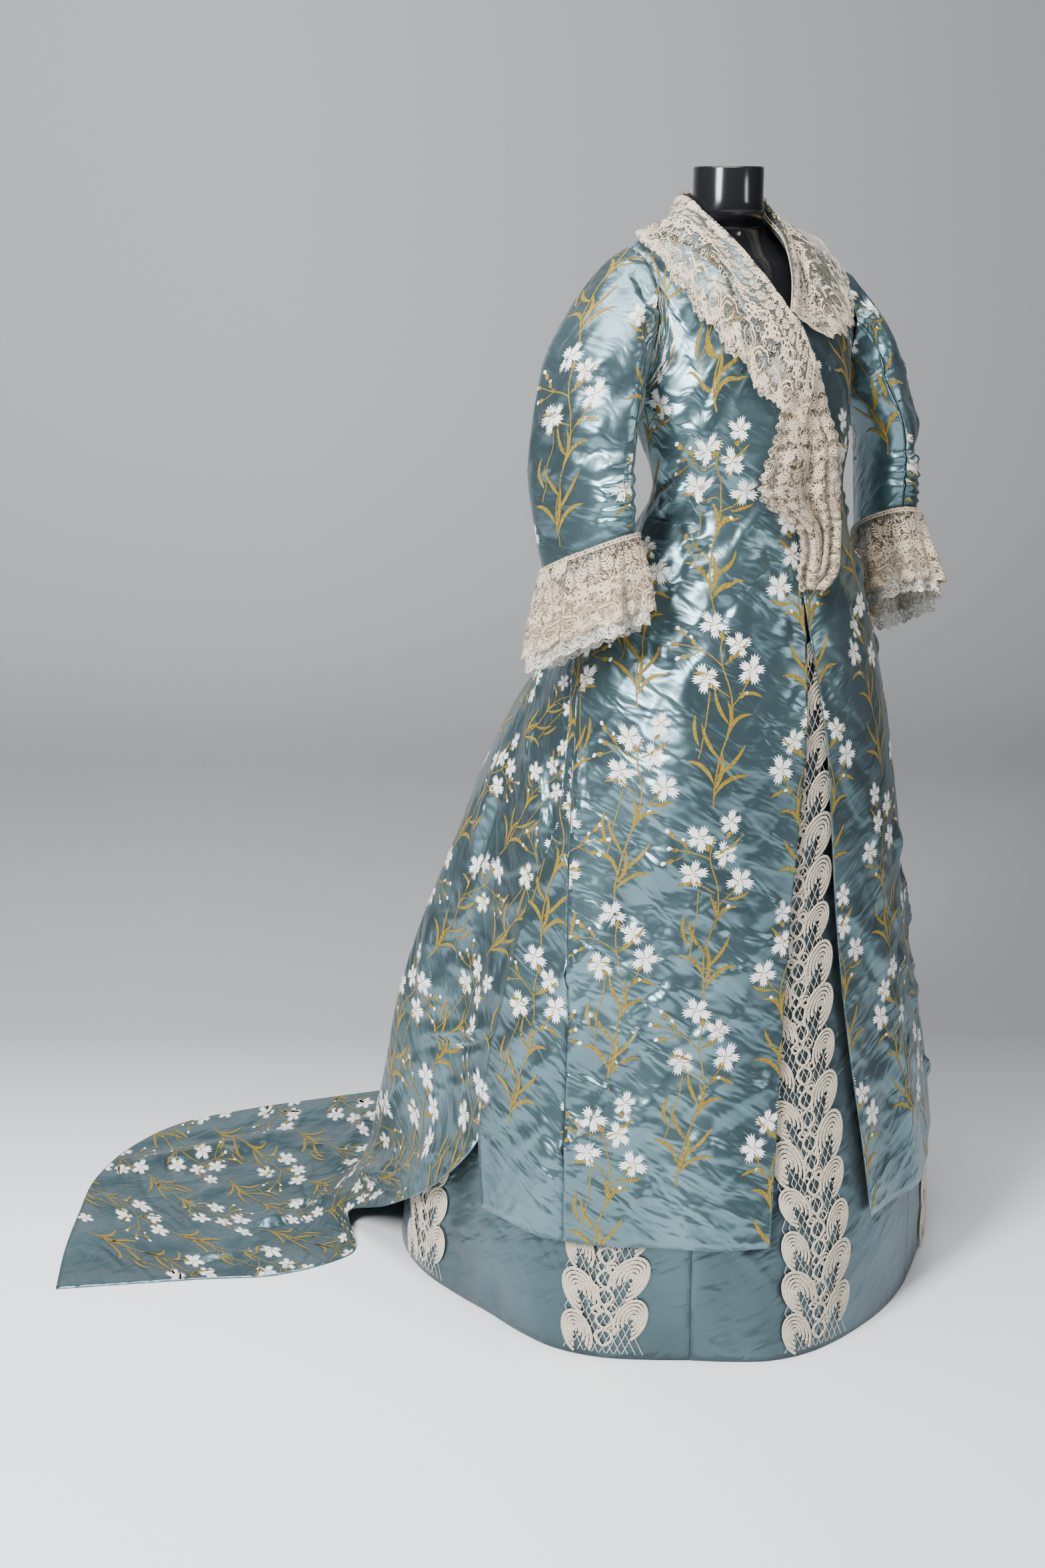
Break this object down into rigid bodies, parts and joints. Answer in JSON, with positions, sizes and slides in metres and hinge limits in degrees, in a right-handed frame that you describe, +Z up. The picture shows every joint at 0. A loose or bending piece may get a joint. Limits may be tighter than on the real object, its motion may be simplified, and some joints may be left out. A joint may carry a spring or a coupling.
{
  "type": "reception gown on dress form",
  "caption": "Trained satin reception gown with lace collar, jabot and cuffs, open over an underskirt, on a limbless dress form.",
  "frame": {"origin": "on the floor, under the middle of the dress form's foot", "axes": "+Z up, -Y towards the front of the gown, +X towards the wearer's left"},
  "size_m": [1.3375, 1.1412, 1.533],
  "materials": {
    "brocade": "light blue silk satin, brocaded with white pinks and gold stems",
    "plain_satin": "plain light blue silk satin",
    "lace": "cream lace on net",
    "tape_lace": "cream tape lace",
    "form": "gloss black",
    "stand": "plain brushed steel"
  },
  "bodies": {
    "root": {"form_stand": "stand", "form_torso": "form", "jabot": "lace", "lace_band_centre": "tape_lace", "lace_band_left": "tape_lace", "lace_band_left_back": "tape_lace", "lace_band_right": "tape_lace", "lace_band_right_back": "tape_lace", "left_back": "brocade", "left_collar": "plain_satin", "left_collar_lace": "lace", "left_cuff_back": "lace", "left_cuff_front": "lace", "left_front": "brocade", "left_side": "brocade", "left_sleeve_under": "brocade", "left_sleeve_upper": "brocade", "right_back": "brocade", "right_collar": "plain_satin", "right_collar_lace": "lace", "right_cuff_back": "lace", "right_cuff_front": "lace", "right_front": "brocade", "right_side": "brocade", "right_sleeve_under": "brocade", "right_sleeve_upper": "brocade", "underskirt_back": "plain_satin", "underskirt_front": "plain_satin", "underskirt_left": "plain_satin", "underskirt_right": "plain_satin"}
  },
  "joints": []
}
